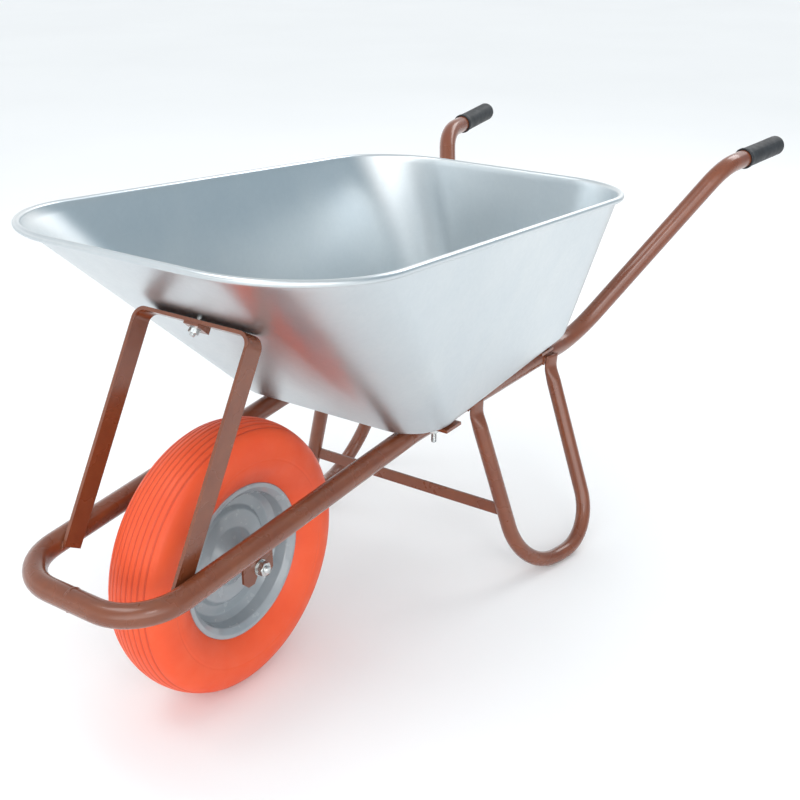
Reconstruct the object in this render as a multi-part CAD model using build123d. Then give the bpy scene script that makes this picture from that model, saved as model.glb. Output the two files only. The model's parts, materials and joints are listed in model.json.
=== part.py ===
from build123d import *
import math
import os

# Builder's wheelbarrow: a bent tube frame, a drawn sheet tray and one solid foam wheel.
# Millimetres, +X forward towards the wheel, +Y to the left, +Z up. The origin is on the ground,
# under the middle of the whole barrow. Every "back" is a distance behind the wheel's axle.

# ---------------------------------------------------------------- wheel
tyre_radius = 200.0
tyre_width = 100.0
tyre_shoulder_radius = 150.0      # where the tyre is widest
tread_grooves = 8
tread_groove_depth = 2.2
tread_groove_width = 3.2
tread_width = 72.0
rim_radius = 114.5                # over the rim's rolled flanges
rim_flange_half = 35.0            # from the wheel's middle to the outside of a flange
rim_sheet = 2.0
bead_seat_radius = 101.5          # outside of the seat that the tyre grips
rim_web_half = 8.0                # the flat web of each rim half, from the wheel's middle
hub_length = 100.0
hub_radius = 16.0
hub_bore_radius = 11.5
bush_flange_radius = 15.5
bush_flange = 3.0
axle_radius = 6.0
running_clearance = 0.08
end_play = 0.5
mating_gap = 0.05                 # between pieces that are pushed or clamped together

# ---------------------------------------------------------------- axle mounting
bracket_inner_half = 58.0         # from the wheel's middle to the inside of a bracket
bracket_sheet = 4.0
bracket_front = 34.0
bracket_rear = 28.0
bracket_drop = 21.0               # how far the prongs reach below the axle
bracket_bend_radius = 12.0
bracket_bend_height = 30.0        # from the axle up to where the plate turns out to the tube
axle_end_stand_out = 5.0
spacer_radius = 10.0

# ---------------------------------------------------------------- frame tube, one side
tube_radius = 16.0
tube_wall = 2.0
nose_reach = 277.0                # from the axle forward to the nose
nose_height = 270.0
nose_half = 115.0
nose_bend_radius = 75.0
bed_height = 314.0                # the two tubes run level under the tray ...
bed_front_back = 285.0            # ... from here ...
bed_front_half = 126.0
bed_rear_back = 799.0             # ... to here
bed_rear_half = 134.6
handle_back = 1043.0              # where the handle turns level
handle_half = 295.0
handle_height = 598.0
grip_end_back = 1250.0
grip_end_half = 322.5
grip_end_height = 607.0
bed_front_bend_radius = 250.0
bed_rear_bend_radius = 125.0
handle_bend_radius = 90.0

# ---------------------------------------------------------------- grips
grip_length = 136.0
grip_wall = 2.2
grip_end_wall = 6.0
grip_collar = 6.0
grip_end_round = 11.0             # rounding of the closed end

# ---------------------------------------------------------------- tray
tray_sheet = 1.2
rim_front_reach = 151.0           # from the axle forward to the middle of the rolled rim
rim_front_half = 294.0
rim_front_height = 677.0
rim_rear_back = 767.0
rim_rear_half = 268.0
rim_rear_height = 607.0
rim_front_corner = 167.0
rim_rear_corner = 143.0
rim_roll_radius = 5.0
floor_front_back = 228.0
floor_front_half = 197.0
floor_rear_back = 764.0
floor_rear_half = 152.0
floor_front_corner = 72.0
floor_rear_corner = 72.0
floor_edge_radius = 30.0

# ---------------------------------------------------------------- cross members and tray bolts
bar_width = 40.0
bar_thickness = 5.0
front_bar_back = 303.0
front_bar_half = 189.0
rear_bar_back = 660.0
rear_bar_half = 156.0
front_bolt_clear = 18.5           # from the outside of the frame tube to the middle of a front bolt
front_bolt_forward = 11.0         # ahead of the bar's middle
rear_bolt_clear = 14.0            # from the inside of the frame tube to the middle of a rear bolt
tray_bolt_radius = 4.0
tray_bolt_length = 30.0

# ---------------------------------------------------------------- front brace
brace_width = 30.0
brace_thickness = 5.0
brace_bend_radius = 16.0
brace_foot_reach = 191.0          # from the axle forward to the brace's foot
brace_foot_drop = 6.0             # below the tube's middle
brace_lean = 30.0                 # degrees from upright
brace_tray_gap = 0.3
wedge_width = 25.0
wedge_least = 3.0                 # the wedge's thin side
brace_bolt_radius = 4.0
brace_bolt_stand_out = 3.5

# ---------------------------------------------------------------- legs
leg_radius = 12.5
leg_wall = 2.0
leg_front_back = 436.0            # where the leg meets the frame tube
leg_rear_back = 679.0
foot_front_back = 463.0           # the corners of the loop, on the ground
foot_rear_back = 652.0
foot_front_half = 231.0
foot_rear_half = 266.0
foot_front_bend = 108.0
foot_rear_bend = 84.0
leg_side_offset = 17.5            # leg's middle outside the frame tube's middle, at the top
leg_brace_height = 128.0
leg_brace_width = 20.0
leg_brace_thickness = 4.0

# ---------------------------------------------------------------- fasteners
nut_flats_per_radius = 3.17       # across flats over the thread's radius, as on M8 and M12
nut_height_per_radius = 1.65
washer_radius_per_radius = 2.0
washer_thickness_per_radius = 0.28
head_height_per_radius = 0.8

# ---------------------------------------------------------------- worked out from the sizes above
handle_run = math.dist(
    (grip_end_back, grip_end_half, grip_end_height), (handle_back, handle_half, handle_height)
)
handle_tilt = math.acos((grip_end_back - handle_back) / handle_run)
grip_flat_end = tube_radius + grip_wall - grip_end_round
grip_reach = grip_end_back + grip_end_round * (1 - math.cos(handle_tilt)) + grip_flat_end * math.sin(handle_tilt)
axle_x = (grip_reach - nose_reach - tube_radius) / 2
axle_height = tyre_radius
bush_bore_radius = axle_radius + running_clearance
hub_face = hub_length / 2
bush_face = hub_face + bush_flange
spacer_face = bush_face + end_play
bracket_face = bracket_inner_half + bracket_sheet
axle_washer = axle_radius * washer_thickness_per_radius
axle_nut = axle_radius * nut_height_per_radius
axle_half = bracket_face + axle_washer + axle_nut + axle_end_stand_out
floor_height = bed_height + tube_radius + bar_thickness
rim_slope = math.atan2(rim_rear_height - rim_front_height, rim_rear_back + rim_front_reach)


def at(back, side, height):
    """A point from its distance behind the axle, its distance left of the middle and its height."""
    return Vector(axle_x - back, side, height)


def between(low, high, share):
    """The value that lies a share of the way from low to high."""
    return low + (high - low) * share


def bed_tube_at(back):
    """Side distance and height of the frame tube's middle between the nose and the rear bend."""
    if back < bed_front_back:
        share = (back + nose_reach) / (bed_front_back + nose_reach)
        return between(nose_half, bed_front_half, share), between(nose_height, bed_height, share)
    share = (back - bed_front_back) / (bed_rear_back - bed_front_back)
    return between(bed_front_half, bed_rear_half, share), bed_height


def tube_along(path, outer, inner=0.0):
    """A round tube, or a round bar when it has no inner radius, along a path."""
    start = Plane(origin=path @ 0, z_dir=path % 0)
    section = Circle(outer)
    if inner > 0:
        section -= Circle(inner)
    return sweep(start * section, path=path)


def bent_path(points, radii):
    return FilletPolyline(*points, radius=radii).wire()


def mirrored(shape):
    return mirror(shape, about=Plane.XZ)


# ---------------------------------------------------------------- frame tubes
def frame_path(end_trim=0.0):
    """Middle line of the left frame tube, from the middle of the nose to the end of the handle."""
    hand = at(handle_back, handle_half, handle_height)
    grip_end = at(grip_end_back, grip_end_half, grip_end_height)
    stop = grip_end + (hand - grip_end).normalized() * end_trim
    points = [
        at(-nose_reach, 0, nose_height),
        at(-nose_reach, nose_half, nose_height),
        at(bed_front_back, bed_front_half, bed_height),
        at(bed_rear_back, bed_rear_half, bed_height),
        hand,
        stop,
    ]
    return bent_path(points, [nose_bend_radius, bed_front_bend_radius, bed_rear_bend_radius, handle_bend_radius])


def frame_tube():
    return tube_along(frame_path(grip_end_wall), tube_radius, tube_radius - tube_wall)


def tube_envelope():
    """The frame tube filled solid: what is welded to the tube is cut back to its surface."""
    return tube_along(frame_path(grip_end_wall), tube_radius)


def grip():
    """A moulded sleeve with a domed end and a collar at its mouth, pushed over the handle."""
    end = at(grip_end_back, grip_end_half, grip_end_height)
    hand = at(handle_back, handle_half, handle_height)
    inward = (hand - end).normalized()
    outer = tube_radius + grip_wall
    plane = Plane(origin=end, z_dir=inward)
    body = extrude(plane * Circle(outer), grip_length)
    body = fillet(body.faces().sort_by(Axis(end, inward))[0].edges(), grip_end_round)
    collar_plane = Plane(origin=end + inward * (grip_length - grip_collar), z_dir=inward)
    body += extrude(collar_plane * Circle(outer + 1.2), grip_collar)
    bore_plane = Plane(origin=end + inward * grip_end_wall, z_dir=inward)
    return body - extrude(bore_plane * Circle(tube_radius + mating_gap), grip_length)


# ---------------------------------------------------------------- tray
def rim_height(back):
    return rim_front_height + math.tan(rim_slope) * (back + rim_front_reach)


def level_floor(back):
    """Underside of the tray's floor: it lies on the cross members, which lie on the frame tubes."""
    return floor_height


def outline(front_back, front_half, rear_back, rear_half, corners, height, inset=0.0, lift=0.0):
    """A closed outline with round corners, drawn in from the given sides by the inset."""
    front = front_back + inset
    rear = rear_back - inset
    points = [
        at(front, -(front_half - inset), height(front) + lift),
        at(front, front_half - inset, height(front) + lift),
        at(rear, rear_half - inset, height(rear) + lift),
        at(rear, -(rear_half - inset), height(rear) + lift),
    ]
    front_corner, rear_corner = corners
    radii = [front_corner - inset, front_corner - inset, rear_corner - inset, rear_corner - inset]
    return FilletPolyline(*points, radius=radii, close=True).wire()


def rim_outline(inset=0.0):
    corners = (rim_front_corner, rim_rear_corner)
    return outline(-rim_front_reach, rim_front_half, rim_rear_back, rim_rear_half, corners, rim_height, inset)


def floor_outline(inset=0.0, lift=0.0):
    corners = (floor_front_corner, floor_rear_corner)
    sides = (floor_front_back, floor_front_half, floor_rear_back, floor_rear_half)
    return outline(*sides, corners, level_floor, inset, lift)


def tray_block(floor_inset, floor_lift, rim_inset, edge_radius):
    """The tray's space from floor to rim as a block with rounded bottom edges."""
    block = loft([Face(floor_outline(floor_inset, floor_lift)), Face(rim_outline(rim_inset))], ruled=True)
    return fillet(block.faces().sort_by(Axis.Z)[0].edges(), edge_radius)


def rolled_rim():
    """The sheet's edge, rolled outward and under into a bead."""
    path = rim_outline()
    start = path @ 0
    along = path % 0
    up = Vector(math.sin(rim_slope), 0, math.cos(rim_slope))
    outward = along.cross(up)
    middle = at((rim_rear_back - rim_front_reach) / 2, 0, start.Z)
    if outward.dot(start - middle) < 0:
        outward = outward * -1
    turn = 325.0 if outward.cross(up).dot(along) > 0 else -325.0
    section_plane = Plane(origin=start, x_dir=outward, z_dir=outward.cross(up))
    outer = rim_roll_radius
    inner = rim_roll_radius - tray_sheet
    last = math.radians(180.0 - abs(turn))
    middle_angle = math.radians(180.0 - abs(turn) / 2)
    arc_out = ThreePointArc(
        (-outer, 0),
        (outer * math.cos(middle_angle), outer * math.sin(middle_angle)),
        (outer * math.cos(last), outer * math.sin(last)),
    )
    arc_in = ThreePointArc(
        (inner * math.cos(last), inner * math.sin(last)),
        (inner * math.cos(middle_angle), inner * math.sin(middle_angle)),
        (-inner, 0),
    )
    closing = [Line(arc_out @ 1, arc_in @ 0), Line(arc_in @ 1, arc_out @ 0)]
    section = make_face([arc_out, closing[0], arc_in, closing[1]])
    return sweep(section_plane * section, path=path)


def tray():
    outside = tray_block(0.0, 0.0, rim_roll_radius - tray_sheet, floor_edge_radius)
    inside = tray_block(tray_sheet, tray_sheet, rim_roll_radius, floor_edge_radius - tray_sheet)
    sheet = (outside - inside) + rolled_rim()
    hole = Cylinder(tray_bolt_radius + 0.3, 10 * tray_sheet)
    for plane in tray_bolt_planes():
        sheet -= plane * hole
    return sheet - brace_bolt_hole()


# ---------------------------------------------------------------- cross members
def bed_plane(back):
    """The plane on top of the cross members, at a distance behind the axle."""
    return Plane(origin=at(back, 0, floor_height))


def tray_bolt_planes():
    """On the tray's seat at each bolt: the front ones outside the frame tubes, the rear ones between them."""
    front_back = front_bar_back - front_bolt_forward
    front_side = bed_tube_at(front_back)[0] + tube_radius + front_bolt_clear
    rear_side = bed_tube_at(rear_bar_back)[0] - tube_radius - rear_bolt_clear
    places = [(front_back, front_side), (rear_bar_back, rear_side)]
    return [Plane(origin=at(back, side * half, floor_height)) for back, half in places for side in (1, -1)]


def cross_member(back, half, envelope):
    """A flat bar welded across both frame tubes, with a bolt hole near each end."""
    sink = 0.8
    plane = bed_plane(back)
    bar = plane * Pos(0, 0, -(bar_thickness + sink) / 2) * Box(bar_width, 2 * half, bar_thickness + sink)
    hole = Cylinder(tray_bolt_radius + 0.4, 6 * bar_thickness)
    for bolt_plane in tray_bolt_planes():
        bar -= bolt_plane * hole
    under = plane * Pos(0, 0, -bar_thickness - sink) * Box(2 * bar_width, 4 * half, 2 * sink)
    return bar - under - envelope - mirrored(envelope)


# ---------------------------------------------------------------- fasteners
def nut(radius, height):
    body = extrude(RegularPolygon(radius * nut_flats_per_radius / 2, 6, major_radius=False), height)
    return body - Cylinder(radius, 4 * height)


def washer(radius, thickness):
    ring = Circle(radius * washer_radius_per_radius) - Circle(radius + 0.3)
    return extrude(ring, thickness)


def on_tray_bolts(piece):
    """A group of four copies, one at each bolt of the tray."""
    return Compound(children=[plane * piece for plane in tray_bolt_planes()])


def tray_bolt():
    """A low round head on the tray's floor and a shank down through the cross member."""
    head = Pos(0, 0, tray_sheet) * extrude(Circle(tray_bolt_radius * 2.1), tray_bolt_radius * 0.6)
    head = fillet(head.edges().sort_by(Axis.Z)[-1], tray_bolt_radius * 0.5)
    shank = Pos(0, 0, tray_sheet - tray_bolt_length) * extrude(Circle(tray_bolt_radius - mating_gap), tray_bolt_length)
    return head + shank


def tray_bolt_washer():
    thickness = tray_bolt_radius * washer_thickness_per_radius
    return Pos(0, 0, -bar_thickness - thickness) * washer(tray_bolt_radius, thickness)


def tray_bolt_nut():
    thickness = tray_bolt_radius * washer_thickness_per_radius
    height = tray_bolt_radius * nut_height_per_radius
    return Pos(0, 0, -bar_thickness - thickness - height) * nut(tray_bolt_radius, height)


# ---------------------------------------------------------------- front brace
def front_wall_point(height):
    """Distance ahead of the axle of the front wall's outside, at a height in the barrow's middle."""
    top_reach = rim_front_reach - rim_roll_radius + tray_sheet
    share = (height - floor_height) / (rim_height(-top_reach) - floor_height)
    return between(-floor_front_back, top_reach, share)


def brace_side():
    """The brace's feet lie against the inner sides of the frame tubes."""
    return bed_tube_at(-brace_foot_reach)[0] - tube_radius - brace_thickness / 2


def brace_foot():
    height = bed_tube_at(-brace_foot_reach)[1] - brace_foot_drop
    return brace_foot_reach, height


def brace_top():
    """Where the brace's upper rear edge comes within a small gap of the tray's front wall."""
    reach, height = brace_foot()
    lean = math.radians(brace_lean)
    length = 0.0
    step = 50.0
    while step > 0.001:
        length += step
        top_reach = reach - length * math.sin(lean) - brace_width / 2 * math.cos(lean)
        top_height = height + length * math.cos(lean) - brace_width / 2 * math.sin(lean)
        if front_wall_point(top_height + brace_tray_gap * 2) > top_reach - brace_tray_gap:
            length -= step
            step /= 2
    return length


def brace_plane():
    """Origin at the brace's foot line, X to the left, Y up along the brace."""
    lean = math.radians(brace_lean)
    reach, height = brace_foot()
    forward_up = Vector(math.cos(lean), 0, math.sin(lean))
    return Plane(origin=at(-reach, 0, height), x_dir=(0, 1, 0), z_dir=forward_up)


def front_brace(envelope):
    """A flat bar bent into a bridge from tube to tube, its crosspiece against the tray."""
    length = brace_top()
    side = brace_side()
    half_thickness = brace_thickness / 2
    path = FilletPolyline(
        (-side, 0),
        (-side, length - half_thickness),
        (side, length - half_thickness),
        (side, 0),
        radius=brace_bend_radius,
    )
    profile = trace(path, line_width=brace_thickness)
    bar = extrude(brace_plane() * profile, brace_width / 2, both=True)
    return bar - envelope - mirrored(envelope) - brace_bolt_hole()


def wall_plane():
    """On the outside of the tray's front wall, where a bolt square to it meets the crosspiece's middle."""
    lean = math.radians(brace_lean)
    reach, height = brace_foot()
    length = brace_top() - brace_thickness / 2
    middle = at(length * math.sin(lean) - reach, 0, height + length * math.cos(lean))
    low = at(floor_front_back, 0, floor_height)
    top = at(-front_wall_point(middle.Z), 0, middle.Z)
    along = (top - low).normalized()
    foot = top + along * (middle - top).dot(along)
    return Plane(origin=foot, x_dir=(0, 1, 0), z_dir=(along.Z, 0, -along.X))


def wedge_face():
    """Distance from the tray's wall to the nut's side of the wedge."""
    wall = wall_plane()
    across = brace_plane()
    corner = across.from_local_coords(Vector(0, brace_top() - brace_thickness, brace_width / 2))
    return wall.to_local_coords(corner).Z + wedge_least


def brace_wedge():
    """A tapered plate under the crosspiece that gives the nut a face square to the bolt."""
    seat = brace_plane() * Pos(0, brace_top() - brace_thickness, 0)
    block = seat * Box(wedge_width, 30, brace_width - 4, align=(Align.CENTER, Align.MAX, Align.CENTER))
    beyond = wall_plane() * Pos(0, 0, wedge_face()) * Box(
        300, 300, 300, align=(Align.CENTER, Align.CENTER, Align.MIN)
    )
    return block - beyond - brace_bolt_hole()


def brace_bolt_hole():
    return wall_plane() * Cylinder(brace_bolt_radius + 0.3, 80)


def brace_bolt():
    """A low round head inside the tray and a shank out through the wall, the crosspiece and the wedge."""
    head = extrude(Circle(brace_bolt_radius * 2.1), -brace_bolt_radius * 0.6)
    head = fillet(head.edges().sort_by(Axis.Z)[0], brace_bolt_radius * 0.5)
    shank = extrude(Circle(brace_bolt_radius - mating_gap), tray_sheet + brace_nut_face() + brace_bolt_stand_out)
    return wall_plane() * Pos(0, 0, -tray_sheet) * (head + shank)


def brace_washer():
    return wall_plane() * Pos(0, 0, wedge_face()) * washer(brace_bolt_radius, brace_washer_thickness())


def brace_washer_thickness():
    return brace_bolt_radius * washer_thickness_per_radius


def brace_nut_face():
    return wedge_face() + brace_washer_thickness() + brace_bolt_radius * nut_height_per_radius


def brace_nut():
    height = brace_bolt_radius * nut_height_per_radius
    return wall_plane() * Pos(0, 0, brace_nut_face() - height) * nut(brace_bolt_radius, height)


# ---------------------------------------------------------------- legs
def leg_path():
    """The loop's middle line: down from the frame tube's outer side, along the ground and up again."""
    front_side, front_height = bed_tube_at(leg_front_back)
    rear_side, rear_height = bed_tube_at(leg_rear_back)
    points = [
        at(leg_front_back, front_side + leg_side_offset, front_height),
        at(foot_front_back, foot_front_half, leg_radius),
        at(foot_rear_back, foot_rear_half, leg_radius),
        at(leg_rear_back, rear_side + leg_side_offset, rear_height),
    ]
    return bent_path(points, [foot_front_bend, foot_rear_bend])


def leg(envelope):
    """A bent tube loop; its two ends are cut to fit the frame tube and welded on."""
    loop = tube_along(leg_path(), leg_radius, leg_radius - leg_wall)
    return loop - envelope


def leg_brace():
    """A flat bar between the two front legs, cut to their round sides."""
    front_side, front_height = bed_tube_at(leg_front_back)
    share = (front_height - leg_brace_height) / (front_height - leg_radius)
    back = between(leg_front_back, foot_front_back, share)
    half = between(front_side + leg_side_offset, foot_front_half, share)
    bar = Pos(axle_x - back, 0, leg_brace_height) * Box(leg_brace_thickness, 2 * half, leg_brace_width)
    solid_leg = tube_along(leg_path(), leg_radius)
    return bar - solid_leg - mirrored(solid_leg)


# ---------------------------------------------------------------- axle and brackets
def axle_plane(side):
    """At the axle's middle, Z pointing out to one side of the barrow."""
    return Plane(origin=at(0, 0, axle_height), x_dir=(side, 0, 0), z_dir=(0, side, 0))


def bracket(envelope):
    """A plate with a slot for the axle, bent outward above the axle and welded to the tube's lower side."""
    side, height = bed_tube_at(0)
    slope = math.atan2(bed_height - nose_height, bed_front_back + nose_reach)
    middle = bracket_inner_half + bracket_sheet / 2
    line = FilletPolyline(
        (middle, axle_height - 2 * bracket_drop),
        (middle, axle_height + bracket_bend_height),
        (side, height),
        radius=bracket_bend_radius,
    )
    profile = trace(line, line_width=bracket_sheet)
    cross_section = Plane(origin=at(0, 0, 0), x_dir=(0, 1, 0), z_dir=(1, 0, 0))
    reach = 2 * bracket_front
    outer_edge = side + tube_radius
    shape = extrude(cross_section * profile, reach, dir=(math.cos(slope), 0, -math.sin(slope)), both=True)
    chamfer_size = 9.0
    lead_in = 6.0
    slot = axle_radius + 0.4
    low = -bracket_drop
    side_view = Polyline(
        (-bracket_rear, 200),
        (-bracket_rear, low + chamfer_size),
        (-bracket_rear + chamfer_size, low),
        (-slot - lead_in, low),
        (-slot, low + lead_in * 1.4),
        (-slot, 0),
        (slot, 0),
        (slot, low + lead_in * 1.4),
        (slot + lead_in, low),
        (bracket_front - chamfer_size, low),
        (bracket_front, low + chamfer_size),
        (bracket_front, 200),
        close=True,
    )
    side_plane = Plane(origin=at(0, 0, axle_height), x_dir=(1, 0, 0), z_dir=(0, -1, 0))
    outline_block = extrude(side_plane * make_face(side_view), -2 * outer_edge)
    slot_end = axle_plane(1) * Pos(0, 0, outer_edge / 2) * Cylinder(slot, outer_edge)
    return (shape & outline_block) - slot_end - envelope


def axle():
    return axle_plane(1) * Cylinder(axle_radius, 2 * axle_half)


def axle_spacer(side):
    length = bracket_inner_half - spacer_face - mating_gap
    ring = Circle(spacer_radius) - Circle(axle_radius + mating_gap)
    return axle_plane(side) * Pos(0, 0, spacer_face) * extrude(ring, length)


def pair(make):
    return Compound(children=[make(1), make(-1)])


def axle_washer_at(side):
    return axle_plane(side) * Pos(0, 0, bracket_face + mating_gap) * washer(axle_radius, axle_washer - mating_gap)


def axle_nut_at(side):
    body = nut(axle_radius + mating_gap, axle_nut)
    return axle_plane(side) * Pos(0, 0, bracket_face + axle_washer) * body


# ---------------------------------------------------------------- wheel
def around_axle(profile):
    """Turn a profile drawn as (radius, side) about the axle."""
    plane = Plane(origin=at(0, 0, axle_height), x_dir=(0, 0, 1), z_dir=(-1, 0, 0))
    return revolve(plane * profile, axis=Axis(at(0, 0, axle_height), (0, 1, 0)))


def rim_line(side):
    """Corners of one rim half's middle line as (radius, side): lip, tyre seat, web, cone and hub collar."""
    middle = rim_sheet / 2
    seat = bead_seat_radius - middle
    return [
        (rim_radius - middle, side * (rim_flange_half - middle - 1.0)),
        (rim_radius - 5.0, side * (rim_flange_half - middle)),
        (seat + 1.0, side * (rim_flange_half - 7.0)),
        (seat - 2.0, side * rim_web_half * 1.3),
        (seat - 10.0, side * (middle + mating_gap)),
        (seat - 26.0, side * (middle + mating_gap)),
        (seat - 32.0, side * rim_web_half),
        (hub_radius + 28.0, side * rim_web_half),
        (hub_radius + 8.0, side * (rim_web_half + 14.0)),
        (hub_radius + middle + mating_gap, side * (rim_web_half + 22.0)),
    ]


def rim_section(side, thickness):
    bends = [3.0, 4.0, 4.0, 5.0, 5.0, 5.0, 8.0, 8.0]
    return trace(FilletPolyline(*rim_line(side), radius=bends), line_width=thickness)


def rim_half(side):
    """One pressed half of the rim."""
    return around_axle(rim_section(side, rim_sheet))


def tyre():
    """Solid foam: its foot fills the well between the rim's lips and is cut to the rim's shape."""
    half = tyre_width / 2
    shoulder = tyre_radius - 12.0
    shoulder_half = tread_width / 2 + 3.0
    lip = rim_radius + 0.5
    lip_half = rim_flange_half - rim_sheet
    foot_points = rim_line(1)[0:4] + rim_line(-1)[3::-1]
    right_wall = Spline((lip, -lip_half), (tyre_shoulder_radius, -half), (shoulder, -shoulder_half))
    crown = ThreePointArc((shoulder, -shoulder_half), (tyre_radius, 0), (shoulder, shoulder_half))
    left_wall = Spline((shoulder, shoulder_half), (tyre_shoulder_radius, half), (lip, lip_half))
    foot = Polyline((lip, lip_half), *foot_points, (lip, -lip_half))
    profile = make_face([right_wall, crown, left_wall, foot])
    for side in (1, -1):
        profile -= rim_section(side, rim_sheet + 2 * mating_gap)
    crown_radius = (tyre_radius - shoulder) / 2 + shoulder_half ** 2 / (2 * (tyre_radius - shoulder))
    for number in range(tread_grooves):
        side = between(-tread_width / 2, tread_width / 2, number / (tread_grooves - 1))
        surface = tyre_radius - crown_radius + math.sqrt(crown_radius ** 2 - side ** 2)
        profile -= Pos(surface, side) * Rectangle(2 * tread_groove_depth, tread_groove_width)
    return around_axle(profile)


def hub_tube():
    ring = Circle(hub_radius) - Circle(hub_bore_radius)
    return axle_plane(1) * extrude(ring, hub_length / 2, both=True)


def hub_bush(side):
    """A flanged bearing bush pushed into one end of the hub tube."""
    length = 22.0
    bore = Circle(bush_bore_radius)
    sleeve = extrude(Circle(hub_bore_radius - mating_gap) - bore, -length)
    flange = extrude(Circle(bush_flange_radius) - bore, bush_flange)
    return axle_plane(side) * Pos(0, 0, hub_face) * (sleeve + flange)


# ---------------------------------------------------------------- write every piece
def build():
    left_envelope = tube_envelope()
    left_leg = leg(left_envelope)
    left_tube = frame_tube()
    left_grip = grip()
    left_bracket = bracket(left_envelope)
    return {
        "left_frame_tube": left_tube,
        "right_frame_tube": mirrored(left_tube),
        "left_grip": left_grip,
        "right_grip": mirrored(left_grip),
        "tray": tray(),
        "front_cross_member": cross_member(front_bar_back, front_bar_half, left_envelope),
        "rear_cross_member": cross_member(rear_bar_back, rear_bar_half, left_envelope),
        "tray_bolts": on_tray_bolts(tray_bolt()),
        "tray_bolt_washers": on_tray_bolts(tray_bolt_washer()),
        "tray_bolt_nuts": on_tray_bolts(tray_bolt_nut()),
        "front_brace": front_brace(left_envelope),
        "brace_wedge": brace_wedge(),
        "brace_bolt": brace_bolt(),
        "brace_washer": brace_washer(),
        "brace_nut": brace_nut(),
        "left_leg": left_leg,
        "right_leg": mirrored(left_leg),
        "leg_cross_brace": leg_brace(),
        "left_axle_bracket": left_bracket,
        "right_axle_bracket": mirrored(left_bracket),
        "axle": axle(),
        "left_axle_spacer": axle_spacer(1),
        "right_axle_spacer": axle_spacer(-1),
        "axle_washers": pair(axle_washer_at),
        "axle_nuts": pair(axle_nut_at),
        "tyre": tyre(),
        "outer_rim_half": rim_half(1),
        "inner_rim_half": rim_half(-1),
        "hub_tube": hub_tube(),
        "left_hub_bush": hub_bush(1),
        "right_hub_bush": hub_bush(-1),
    }


os.makedirs("parts", exist_ok=True)
for name, piece in build().items():
    export_step(piece, "parts/" + name + ".step")
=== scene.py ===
# %% [markdown]
# # A builder's wheelbarrow
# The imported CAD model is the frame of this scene. It says where every piece is, and nothing in it is
# moved. The script gives each piece the surface it has on a real barrow and puts a finer piece over
# the CAD where the real one has more shape than the CAD needs: the tyre, the rim, the tray, the leg
# ends, the grips and the fasteners.

# %% Load the frame
import json
import math
from functools import partial

import bmesh
import bpy
import numpy as np
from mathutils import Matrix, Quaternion, Vector
from mathutils.bvhtree import BVHTree


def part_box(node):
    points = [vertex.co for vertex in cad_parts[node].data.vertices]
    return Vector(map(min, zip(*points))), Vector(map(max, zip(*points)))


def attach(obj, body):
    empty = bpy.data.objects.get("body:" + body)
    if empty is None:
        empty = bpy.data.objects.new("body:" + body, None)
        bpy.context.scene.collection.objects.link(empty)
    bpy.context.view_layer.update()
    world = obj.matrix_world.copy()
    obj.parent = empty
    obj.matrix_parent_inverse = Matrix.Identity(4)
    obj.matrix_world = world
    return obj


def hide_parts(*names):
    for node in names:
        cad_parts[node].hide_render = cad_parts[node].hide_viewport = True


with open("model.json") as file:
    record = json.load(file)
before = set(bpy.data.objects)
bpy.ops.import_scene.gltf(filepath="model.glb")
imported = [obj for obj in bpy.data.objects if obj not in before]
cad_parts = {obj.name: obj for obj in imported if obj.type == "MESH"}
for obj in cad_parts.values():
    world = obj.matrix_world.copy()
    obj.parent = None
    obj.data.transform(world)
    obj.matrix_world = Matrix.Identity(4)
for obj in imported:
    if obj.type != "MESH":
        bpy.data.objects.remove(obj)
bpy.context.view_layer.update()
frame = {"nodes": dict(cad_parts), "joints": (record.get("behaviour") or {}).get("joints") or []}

# %% [markdown]
# ## Sizes
# All lengths here are millimetres of the real barrow, and one helper turns them into metres. The axle
# stands where the wheel's hinge says. "Back" is a distance behind the axle.

# %% Sizes and small helpers
MM = 0.001
axle = Vector(next(j for j in frame["joints"] if j["name"] == "wheel_spin")["pos_m"])
tube_radius = 16.0
leg_radius = 12.5
sheet = 1.2
floor_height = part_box("tray")[0].z / MM


def at(back, side, height):
    """A point in metres from its distance behind the axle, its side distance and its height."""
    return Vector((axle.x - back * MM, side * MM, height * MM))


def between(low, high, share):
    return low + (high - low) * share


def smooth_step(low, high, value):
    share = min(max((value - low) / (high - low), 0.0), 1.0)
    return share * share * (3 - 2 * share)


def bent_points(corners, radii, steps=16):
    """Points along a line whose inner corners are rounded to the given radii."""
    line = [Vector(corners[0])]
    for before, corner, after, radius in zip(corners, corners[1:], corners[2:], radii):
        corner = Vector(corner)
        back = (Vector(before) - corner).normalized()
        ahead = (Vector(after) - corner).normalized()
        turn = math.pi - back.angle(ahead)
        reach = radius * math.tan(turn / 2)
        centre = corner + (back + ahead).normalized() * radius / math.cos(turn / 2)
        spoke = corner + back * reach - centre
        axis = (-back).cross(ahead).normalized()
        for step in range(steps + 1):
            line.append(centre + Quaternion(axis, turn * step / steps) @ spoke)
    line.append(Vector(corners[-1]))
    return line


def spaced(line, gap):
    """The same line with extra points, so that no two neighbours are further apart than the gap."""
    result = [line[0]]
    for start, end in zip(line, line[1:]):
        count = max(1, math.ceil((end - start).length / gap))
        result += [start.lerp(end, (n + 1) / count) for n in range(count)]
    return result


print("axle at", [round(v, 4) for v in axle], "tray floor at", round(floor_height, 1), "mm")

# %% [markdown]
# ## Building meshes
# Most pieces are made the way the real ones are: a section that is turned about an axle, or a section
# that is drawn along a bent line. Both give rows of points that are joined by four-sided faces.

# %% Mesh helpers
def placed_in_scene(name, data):
    made = bpy.data.objects.new(name, data)
    bpy.context.scene.collection.objects.link(made)
    return made


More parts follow.
